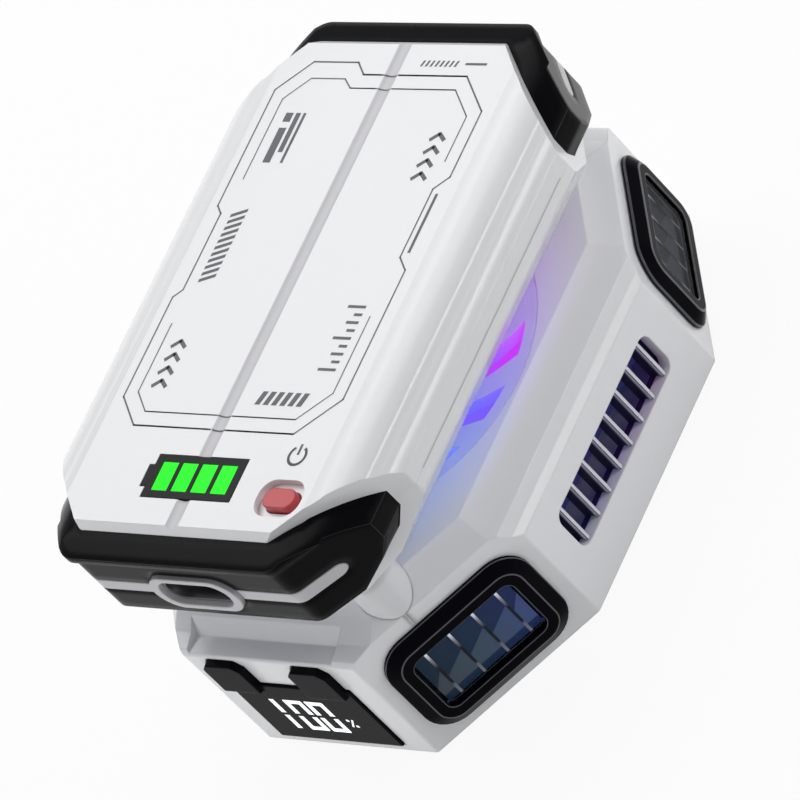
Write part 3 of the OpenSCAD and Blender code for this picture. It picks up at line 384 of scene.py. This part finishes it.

# Fan
# A black frame with a brass sleeve and a wound stator, and a milky rotor with leaning blades. The ring's light on the
# frame and the rotor is painted on, as a glow in its colours.
fan_black = moulded_plastic("fan_black", (0.02, 0.02, 0.022), gloss=0.4, smear=0.12)
# Painted light: the frame glows in the ring's colours.
own_and_painted_ring_glow(fan_black, 0.55)
dress(fan_black, "fan_frame")
dress(moulded_plastic("sleeve_brass", (0.55, 0.38, 0.14), gloss=0.3, smear=0.1, metal=1.0), "fan_bearing", "dock_pins",
      "battery_contacts")
dress(moulded_plastic("enamelled_copper", (0.45, 0.16, 0.06), gloss=0.3, smear=0.2, metal=0.8), "stator_coils")
rotor_milk = moulded_plastic("rotor_milk", (0.30, 0.28, 0.34), gloss=0.3, smear=0.1)
# Painted light: the rotor glows in the ring's colours.
own_and_painted_ring_glow(rotor_milk, 0.75)
dress(rotor_milk, "fan_rotor")

# Intake grille
# A white moulded disc with swept vanes, pressed into the deck. The ring's light from below is painted on as a glow: a
# faint one on its top, and the ring's full colour on the walls of its gaps.
grille_white = moulded_plastic("grille_white", (0.66, 0.66, 0.74), gloss=0.35, smear=0.06)
# Painted light: the top of the grille glows in the ring's colours.
add_painted_ring_light(grille_white, 0.30, 19, 40, 20.2, 20.5)
dress(grille_white, "intake_grille")
# Painted light: the walls of the gaps glow in the ring's full colour.
vane_wall_painted_glow = moulded_plastic("vane_wall_painted_glow", (0.40, 0.36, 0.50), gloss=0.35, smear=0.06)
own_and_painted_ring_glow(vane_wall_painted_glow, 0.6)
vane_reach, upright = 18.8, 0.5
vanes = nodes["intake_grille"].data
vanes.materials.append(vane_wall_painted_glow)
for face in vanes.polygons:
    inside = face.center.xy.length < vane_reach * mm
    face.material_index = 1 if inside and abs(face.normal.z) < upright else 0
soften("intake_grille", 0.2)

# Side grilles
# Moulded plastic bars on a plate that sits behind each side slot. Their outer edges are white, and painted shade
# darkens their flanks and roots.
bar_root, bar_crown = 24.7, 25.1
bar_white = moulded_plastic("bar_white", (0.78, 0.78, 0.82), gloss=0.3, smear=0.1)
bar_tree = bar_white.node_tree
bar_place = bar_tree.nodes.new("ShaderNodeTexCoord")
bar_split = bar_tree.nodes.new("ShaderNodeSeparateXYZ")
bar_reach = bar_tree.nodes.new("ShaderNodeMath")
bar_reach.operation = "ABSOLUTE"
# Painted shade: the bars darken from their white outer edges towards their roots.
bar_painted_shade_mask = bar_tree.nodes.new("ShaderNodeMapRange")
bar_painted_shade_mask.inputs["From Min"].default_value = bar_root * mm
bar_painted_shade_mask.inputs["From Max"].default_value = bar_crown * mm
bar_painted_shade = bar_tree.nodes.new("ShaderNodeValToRGB")
bar_painted_shade.color_ramp.elements[0].color = (0.015, 0.015, 0.04, 1)
bar_painted_shade.color_ramp.elements[1].color = (0.78, 0.78, 0.84, 1)
bar_surface = next(part for part in bar_tree.nodes if part.type == "GROUP")
bar_tree.links.new(bar_place.outputs["Object"], bar_split.inputs[0])
bar_tree.links.new(bar_split.outputs["X"], bar_reach.inputs[0])
bar_tree.links.new(bar_reach.outputs[0], bar_painted_shade_mask.inputs["Value"])
bar_tree.links.new(bar_painted_shade_mask.outputs["Result"], bar_painted_shade.inputs["Fac"])
bar_tree.links.new(bar_painted_shade.outputs["Color"], bar_surface.inputs["Colour"])
# Painted shade: the bevelled flanks of the bars are dark navy.
bar_flank_painted_shade = moulded_plastic("bar_flank_painted_shade", (0.03, 0.03, 0.10), gloss=0.3, smear=0.1)
for side in ("right_grille", "left_grille"):
    dress(bar_white, side)
    nodes[side].data.materials.append(bar_flank_painted_shade)
    soften(side, 0.18, rim=1)

# Display
# A gloss black plastic panel with two raised ears, seated in the near end wall. White segments of light glow through
# it from the module behind.
display_black = moulded_plastic("display_black", (0.006, 0.006, 0.008), gloss=0.16, smear=0.06, shine=0.02)
dress(display_black, "display_panel")
soften("display_panel", 0.2)


def skin(node):
    """The faces of a CAD piece, to find points on it."""
    mesh = nodes[node].data
    return BVHTree.FromPolygons([corner.co for corner in mesh.vertices], [face.vertices for face in mesh.polygons])


def land(surface, start, way, lift):
    """The point where a line from start meets a surface, lifted off it a little."""
    way = Vector(way)
    return surface.ray_cast(Vector(start), way)[0] - lift * mm * way


def bar(start, end, width, trim=0.0):
    """Corners of a straight stroke in a plane, shortened by trim at both ends."""
    start, end = Vector(start), Vector(end)
    along = (end - start).normalized()
    side = Vector((-along.y, along.x)) * width / 2
    start, end = start + along * trim, end - along * trim
    return [start - side, end - side, end + side, start + side]


def stamp(name, shapes, place, finish, body):
    """One flat piece from outlines in a plane, which place puts on a surface."""
    corners = []
    faces = []
    for shape in shapes:
        faces.append(range(len(corners), len(corners) + len(shape)))
        corners += [place(*spot) for spot in shape]
    mesh = bpy.data.meshes.new(name)
    mesh.from_pydata(corners, [], faces)
    mesh.materials.append(finish)
    piece = bpy.data.objects.new(name, mesh)
    bpy.context.scene.collection.objects.link(piece)
    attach(piece, body)


digit_w, digit_h, digit_stroke, digit_overlap, digit_low = 2.0, 5.35, 0.72, 0.28, 4.0
digit_ends = {"a": ((0, 1), (1, 1)), "b": ((1, 1), (1, 0.6)), "c": ((1, 0.4), (1, 0)), "d": ((0, 0), (1, 0)),
              "e": ((0, 0), (0, 0.4)), "f": ((0, 0.6), (0, 1))}
digit_bars = []
for digit_left, lit in ((-6.9, "bc"), (-2.85, "abcdef"), (0.3, "abcdef")):
    for letter in lit:
        ends = [(digit_left + u * digit_w, digit_low + v * digit_h) for u, v in digit_ends[letter]]
        digit_bars.append(bar(*ends, digit_stroke, trim=-digit_overlap))
percent_x, percent_z, percent_w, percent_h, percent_stroke, percent_dot = 3.85, 5.0, 0.9, 1.5, 0.24, 0.4
digit_bars.append(bar((percent_x, percent_z), (percent_x + percent_w, percent_z + percent_h), percent_stroke))
for u, v in ((0.1, 1.3), (0.8, 0.2)):
    dot_x, dot_z = percent_x + u, percent_z + v
    digit_bars.append(bar((dot_x - percent_dot / 2, dot_z), (dot_x + percent_dot / 2, dot_z), percent_dot))
panel_skin = skin("display_panel")
digit_light = moulded_plastic("digit_light", (0.75, 0.76, 0.78), gloss=0.4, smear=0.1)
digit_shader = digit_light.node_tree.nodes["Principled BSDF"]
digit_shader.inputs["Emission Color"].default_value = (0.95, 0.98, 1.0, 1)
digit_shader.inputs["Emission Strength"].default_value = 0.75
far_off = 60
digit_lift = 0.02
stamp("display_digits", digit_bars,
      lambda u, v: land(panel_skin, (u * mm, -far_off * mm, v * mm), (0, 1, 0), digit_lift),
      digit_light, "cooler")
dress(moulded_plastic("module_black", (0.02, 0.02, 0.02), gloss=0.5), "display_module", "button_switch")
dress(moulded_plastic("board_green", (0.02, 0.12, 0.05), gloss=0.35, smear=0.2), "control_board", "battery_board")

# Corner windows
# Piano black bezels, seated in the cut corners, with clear smoked panes. Their bevelled rims are glossier and painted
# lighter as a highlight. Behind each pane lie upright bars with painted highlights at their ends, and cells whose glow
# is a painted reflection.
piano_black = moulded_plastic("piano_black", (0.004, 0.004, 0.006), gloss=0.12, smear=0.06, bump=0.01, shine=0.015)
# Painted highlight: the bevelled rims of the bezels are lighter than the piano black, and glossier.
glossy_rim_painted_highlight = moulded_plastic("glossy_rim_painted_highlight", (0.09, 0.09, 0.10), gloss=0.22, smear=0.1, bump=0.01, shine=0.3)
smoked = bpy.data.materials.new("smoked_pane")
smoked.use_nodes = True
smoke = smoked.node_tree
smoke_shader = smoke.nodes["Principled BSDF"]
smoke_surface = smoke.nodes.new("ShaderNodeGroup")
smoke_surface.node_tree = moulded
smoke_surface.inputs["Colour"].default_value = (0.80, 0.86, 0.95, 1)
smoke_surface.inputs["Gloss"].default_value = 0.02
smoke_surface.inputs["Smear"].default_value = 0.03
smoke.links.new(smoke_surface.outputs["Colour"], smoke_shader.inputs["Base Color"])
smoke.links.new(smoke_surface.outputs["Roughness"], smoke_shader.inputs["Roughness"])
smoke_shader.inputs["Transmission Weight"].default_value = 1.0
smoke_shader.inputs["IOR"].default_value = 1.05


def painted_light_finish(name, spots, from_place, to_place, axis, strength):
    """A dark finish with painted light: it glows faintly, in colours that change along one axis."""
    material = moulded_plastic(name, (0.01, 0.01, 0.012), gloss=0.3, smear=0.1, shine=0.1)
    tree = material.node_tree
    shader = tree.nodes["Principled BSDF"]
    place = tree.nodes.new("ShaderNodeTexCoord")
    split = tree.nodes.new("ShaderNodeSeparateXYZ")
    along = tree.nodes.new("ShaderNodeMapRange")
    along.inputs["From Min"].default_value = from_place * mm
    along.inputs["From Max"].default_value = to_place * mm
    ramp = tree.nodes.new("ShaderNodeValToRGB")
    steps = ramp.color_ramp.elements
    steps[0].color = (*spots[0][1], 1)
    steps[1].color = (*spots[-1][1], 1)
    for spot, colour in spots[1:-1]:
        steps.new(spot).color = (*colour, 1)
    tree.links.new(place.outputs["Object"], split.inputs[0])
    tree.links.new(split.outputs[axis], along.inputs["Value"])
    tree.links.new(along.outputs["Result"], ramp.inputs["Fac"])
    tree.links.new(ramp.outputs["Color"], shader.inputs["Emission Color"])
    shader.inputs["Emission Strength"].default_value = strength
    return material


def pane_axes(pane):
    """The centre of a pane, its direction along the wall and its outward direction."""
    centre = sum((point.co for point in pane.vertices), Vector()) / len(pane.vertices)
    outward = max(pane.polygons, key=lambda face: face.area).normal.copy()
    outward *= 1 if outward.dot(centre) > 0 else -1
    along = Vector((abs(outward.y) * (1 if centre.x > 0 else -1), abs(outward.x) * (-1 if centre.y > 0 else 1), 0))
    return centre, along, outward


def behind(axes, depth, left, right, low, high_left, high_right):
    """Corners of an upright shape that lies depth millimetres behind a pane's centre."""
    centre, along, outward = axes
    spots = ((left, low), (right, low), (right, high_right), (left, high_left))
    return [centre + (along * u + Vector((0, 0, v)) - outward * depth) * mm for u, v in spots]


pane_half_l, pane_half_h, pane_pitch = 6.6, 3.9, 3.3
cell_depth, glint_depth, bar_depth = 0.42, 0.36, 0.30
glint_foot, glint_top, glint_rise, glint_slant = 1.1, -0.9, 0.25, 1.9
pane_bar_half = 0.17
cell_backs = []
cell_glints = []
cell_bars = []
for corner in ("near_right", "near_left", "far_right", "far_left"):
    dress(piano_black, corner + "_frame")
    nodes[corner + "_frame"].data.materials.append(glossy_rim_painted_highlight)
    soften(corner + "_frame", 0.16, angle=24, rim=1)
    dress(smoked, corner + "_pane")
    axes = pane_axes(nodes[corner + "_pane"].data)
    cell_backs.append(behind(axes, cell_depth, -pane_half_l, pane_half_l, -pane_half_h, pane_half_h, pane_half_h))
    for step in range(-2, 3):
        left = max(-pane_half_l, (step - 0.5) * pane_pitch)
        right = min(pane_half_l, (step + 0.5) * pane_pitch)
        high = glint_top + glint_rise * step
        cell_glints.append(behind(axes, glint_depth, left, right, glint_foot - pane_half_h, high, high + glint_slant))
    for step in (-1.5, -0.5, 0.5, 1.5):
        middle = step * pane_pitch
        cell_bars.append(behind(axes, bar_depth, middle - pane_bar_half, middle + pane_bar_half, -pane_half_h,
                                pane_half_h, pane_half_h))
window_end, bar_foot, bar_head = 33, 5.3, 12.4
# Painted reflections: the cells and the glints behind the panes glow in colours that change along the cooler.
cell_painted_reflection = painted_light_finish("cell_painted_reflection", [(0, (0.004, 0.012, 0.020)), (0.11, (0.004, 0.016, 0.040)),
                                 (0.22, (0.008, 0.016, 0.080)), (0.6, (0.002, 0.002, 0.003)),
                                 (1, (0.002, 0.002, 0.003))], -window_end, window_end, "Y", 1.0)
glint_painted_reflection = painted_light_finish("glint_painted_reflection", [(0, (0.038, 0.042, 0.046)), (0.11, (0.034, 0.056, 0.080)),
                                 (0.22, (0.040, 0.056, 0.180)), (0.6, (0.012, 0.012, 0.016)),
                                 (1, (0.020, 0.020, 0.026))], -window_end, window_end, "Y", 1.0)
# Painted highlight: the bars behind the panes are bright at their heads and grey at their feet.
bar_painted_highlight = painted_light_finish("bar_painted_highlight", [(0, (0.13, 0.13, 0.15)), (0.16, (0.10, 0.10, 0.12)), (0.22, (0.003, 0.003, 0.004)),
                                 (0.62, (0.003, 0.003, 0.004)), (0.82, (0.18, 0.18, 0.19)), (1, (0.75, 0.75, 0.75))],
                   bar_foot, bar_head, "Z", 1.0)
for name, shapes, finish in (("window_cells", cell_backs, cell_painted_reflection), ("window_glints", cell_glints, glint_painted_reflection),
                             ("window_bars", cell_bars, bar_painted_highlight)):
    stamp(name, shapes, lambda *spot: Vector(spot), finish, "cooler")

# Battery dock
# Two white moulded posts with locating pins stand at the near end, and a black block with brass contact pins at the
# far end. The battery sits on them.
dress(moulded_plastic("post_white", (0.80, 0.805, 0.82), gloss=0.3, smear=0.05), "dock_posts")
soften("dock_posts", 0.25)
dress(moulded_plastic("dock_black", (0.02, 0.02, 0.022), gloss=0.4), "dock_block")
soften("dock_block", 0.3)

# Battery shell
# A white gloss shell in two mouldings, a top and a tray, with fluted shoulders. The groove down the middle of its top
# is left matt, and its grey is painted shade.
shell_white = moulded_plastic("shell_white", (0.85, 0.855, 0.865), gloss=0.17, smear=0.03, drift=0.03)
dress(shell_white, "battery_top_shell", "battery_tray")
groove_half, groove_floor = 0.97, 37
# Painted shade: the groove is painted grey; its higher roughness is its real matt finish.
matt_groove_painted_shade = moulded_plastic("matt_groove_painted_shade", (0.62, 0.62, 0.64), gloss=0.45, smear=0.05)
top_shell = nodes["battery_top_shell"].data
top_shell.materials.append(matt_groove_painted_shade)
for face in top_shell.polygons:
    spots = [top_shell.vertices[corner].co for corner in face.vertices]
    in_groove = all(abs(spot.x) < groove_half * mm and spot.z > groove_floor * mm for spot in spots)
    if in_groove and face.normal.z > upright:
        face.material_index = 1
soften("battery_top_shell", 0.25, angle=32)
soften("battery_tray", 0.25, angle=32)

# Seam of the battery shell
# The joint of the two shell mouldings, a thin shadow line along both sides where they meet. It has no thickness of
# its own and lies on the shell.
seam_z = min(corner.co.z for corner in top_shell.vertices) / mm
seam_h, seam_reach, seam_lift = 0.18, 18.4, 0.02
seam_probe = seam_z + 0.3
seam_skin = skin("battery_top_shell")
seam_shadow = moulded_plastic("seam_shadow", (0.56, 0.56, 0.57), gloss=0.6, smear=0.1)
seam_shapes = []
for side in (-1, 1):
    side_x = land(seam_skin, (side * far_off * mm, 0, seam_probe * mm), (-side, 0, 0), seam_lift).x
    spots = ((-seam_reach, seam_z), (seam_reach, seam_z), (seam_reach, seam_z + seam_h), (-seam_reach, seam_z + seam_h))
    seam_shapes.append([(side_x, y * mm, z * mm) for y, z in spots])
stamp("shell_seams", seam_shapes, lambda *spot: Vector(spot), seam_shadow, "battery")

# Print on the battery
# Grey ink printed on the top: lines that frame a panel, chevrons and hatching, and a power mark by the button. The
# ink is matt and follows the groove.
ink_lift = 0.015
top_skin = skin("battery_top_shell")
print_ink = moulded_plastic("print_ink", (0.10, 0.10, 0.11), gloss=0.45, smear=0.1, drift=0.3)


def on_top(u, v):
    """A point on the battery's top."""
    return land(top_skin, (u * mm, v * mm, far_off * mm), (0, 0, -1), ink_lift)


stroke_step = 0.2


def line(points, width):
    """Strokes along a path, cut short enough to follow the groove down the middle."""
    strokes = []
    for start, end in zip(points, points[1:]):
        start, end = Vector(start), Vector(end)
        crosses = min(start.x, end.x) < groove_half and max(start.x, end.x) > -groove_half
        pieces = max(1, round(abs(end.x - start.x) / stroke_step)) if crosses else 1
        for i in range(pieces):
            strokes.append(bar(start.lerp(end, i / pieces), start.lerp(end, (i + 1) / pieces), width, -width / 2))
    return strokes


def block(x, y, wide, tall, lean=0.0, climb=0.0):
    """A block whose near left corner is at x, y. It leans to the right, or climbs to the right."""
    return [(x, y), (x + wide, y + climb), (x + wide + lean, y + tall + climb), (x + lean, y + tall)]


outer_path = [(-12.5, -19.0), (11.0, -19.0), (15.6, -14.4), (15.6, 2.0), (14.0, 3.6), (14.0, 12.4), (15.6, 14.0),
              (15.6, 22.5), (11.1, 27.0), (-4.0, 27.0), (-5.6, 28.6), (-12.2, 28.6), (-16.0, 24.8), (-16.0, 9.4),
              (-15.0, 8.4), (-15.0, -1.6), (-16.0, -2.6), (-16.0, -15.5), (-12.5, -19.0)]
near_path = [(-14.2, -6.0), (-14.2, -14.8), (-11.8, -17.2), (10.3, -17.2), (13.8, -13.7), (13.8, -4.0)]
far_path = [(-14.2, 13.0), (-14.2, 23.6), (-11.4, 26.4), (-6.4, 26.4), (-5.0, 25.2), (10.4, 25.2), (13.8, 21.8),
            (13.8, 16.0)]
frame_stroke, panel_stroke = 0.2, 0.16
print_shapes = line(outer_path, frame_stroke) + line(near_path, panel_stroke) + line(far_path, panel_stroke)
chevron_pitch, chevron_half, chevron_tip, chevron_stroke, chevron_overlap = 1.7, 1.0, 0.8, 0.5, 0.1
for chevron_x, chevron_y in ((-11.6, -14.0), (11.2, 13.6)):
    for step in range(4):
        base = chevron_y + chevron_pitch * step
        tip = (chevron_x, base + chevron_tip)
        for wing in (-chevron_half, chevron_half):
            print_shapes.append(bar((chevron_x + wing, base), tip, chevron_stroke, -chevron_overlap))
hatch_x, hatch_y, hatch_pitch, hatch_w, hatch_t, hatch_climb = -13.4, -0.6, 0.85, 2.2, 0.45, 0.8
for step in range(11):
    print_shapes.append(block(hatch_x, hatch_y + hatch_pitch * step, hatch_w, hatch_t, climb=hatch_climb))
scale_right, scale_y, scale_pitch, scale_t = 12.6, -11.0, 1.0, 0.36
scale_long, scale_short, scale_mid = 2.6, 1.2, 1.8
scale_run = [scale_long, scale_short, scale_mid, scale_short] * 2 + [scale_long]
for step, reach in enumerate(scale_run):
    print_shapes.append(block(scale_right - reach, scale_y + scale_pitch * step, reach, scale_t))
near_x, near_y, near_pitch, near_w, near_t, near_lean = 3.4, -15.6, 1.2, 0.75, 1.7, 0.5
for step in range(6):
    print_shapes.append(block(near_x + near_pitch * step, near_y, near_w, near_t, near_lean))
emblem = [(-12.6, 15.2, 1.1, 4.6), (-11.1, 16.6, 0.7, 5.2), (-12.6, 20.6, 1.1, 1.2), (-10.0, 15.2, 0.4, 6.6)]
for emblem_block in emblem:
    print_shapes.append(block(*emblem_block))
far_x, far_y, far_pitch, far_w, far_t, far_lean = 3.6, 28.2, 0.7, 0.3, 0.8, 0.25
for step in range(8):
    print_shapes.append(block(far_x + far_pitch * step, far_y, far_w, far_t, far_lean))
print_shapes += line([(10.2, 28.6), (13.0, 28.6)], 0.3) + line([(14.9, 4.4), (14.9, 11.6)], 0.4)
stamp("top_print", print_shapes, on_top, print_ink, "battery")

mark_x, mark_y, mark_r, mark_stroke, mark_overlap = 13.0, -21.6, 1.15, 0.34, 0.03
mark_foot, mark_head = 0.1, 1.45
mark_start, mark_sweep, mark_steps = 125, 290, 28
mark_turns = [math.radians(mark_start + mark_sweep * i / mark_steps) for i in range(mark_steps + 1)]
mark_path = [(mark_x + mark_r * math.cos(turn), mark_y + mark_r * math.sin(turn)) for turn in mark_turns]
mark_shapes = [bar(start, end, mark_stroke, -mark_overlap) for start, end in zip(mark_path, mark_path[1:])]
mark_shapes.append(bar((mark_x, mark_y + mark_foot), (mark_x, mark_y + mark_head), mark_stroke))
stamp("power_mark", mark_shapes, on_top, print_ink, "battery")

# End caps
# Black gloss caps, plugged into both ends of the shell. Their bevelled rims are glossier and painted lighter as a
# highlight. Each has a pale inlay strip, and the near one has the charging port in its bezel.
cap_black = moulded_plastic("cap_black", (0.004, 0.004, 0.005), gloss=0.16, smear=0.06, bump=0.01, shine=0.05,
                            crease=1.3)
# Painted highlight: the bevelled rims of the caps are lighter than the black, and glossier.
cap_rim_painted_highlight = moulded_plastic("cap_rim_painted_highlight", (0.02, 0.02, 0.022), gloss=0.2, smear=0.06, bump=0.01, shine=0.3, crease=1.3)
for name in ("near_cap", "far_cap"):
    dress(cap_black, name)
    nodes[name].data.materials.append(cap_rim_painted_highlight)
    soften(name, 0.4, angle=20, rim=1)
dress(moulded_plastic("inlay_grey", (0.56, 0.56, 0.58), gloss=0.3, smear=0.1), "near_inlay", "far_inlay", "port_bezel")
for name in ("near_inlay", "far_inlay", "port_bezel"):
    soften(name, 0.15)
dress(moulded_plastic("port_steel", (0.45, 0.45, 0.46), gloss=0.25, smear=0.1, metal=1.0), "usb_port")

# Cell
# A flat lithium cell wrapped in plain foil, which lies in the battery's tray. The shell hides it at every pose, so
# its edges aren't rounded.
dress(moulded_plastic("cell_foil", (0.10, 0.14, 0.20), gloss=0.4, smear=0.2), "battery_cell")

# Level window and button
# A gloss black window set in the top with four green bars of light, and a red plastic button that slides down in a
# scooped recess.
dress(moulded_plastic("window_black", (0.006, 0.006, 0.008), gloss=0.2, smear=0.1, shine=0.1), "level_window")
level_green = moulded_plastic("level_green", (0.0, 0.2, 0.002), gloss=0.3, smear=0.1, shine=0.2)
level_shader = level_green.node_tree.nodes["Principled BSDF"]
level_shader.inputs["Emission Color"].default_value = (0.0, 1.0, 0.0, 1)
level_shader.inputs["Emission Strength"].default_value = 0.95
dress(level_green, "level_bars")
dress(moulded_plastic("button_red", (0.55, 0.05, 0.06), gloss=0.3, smear=0.1), "power_button")
soften("power_button", 0.3)
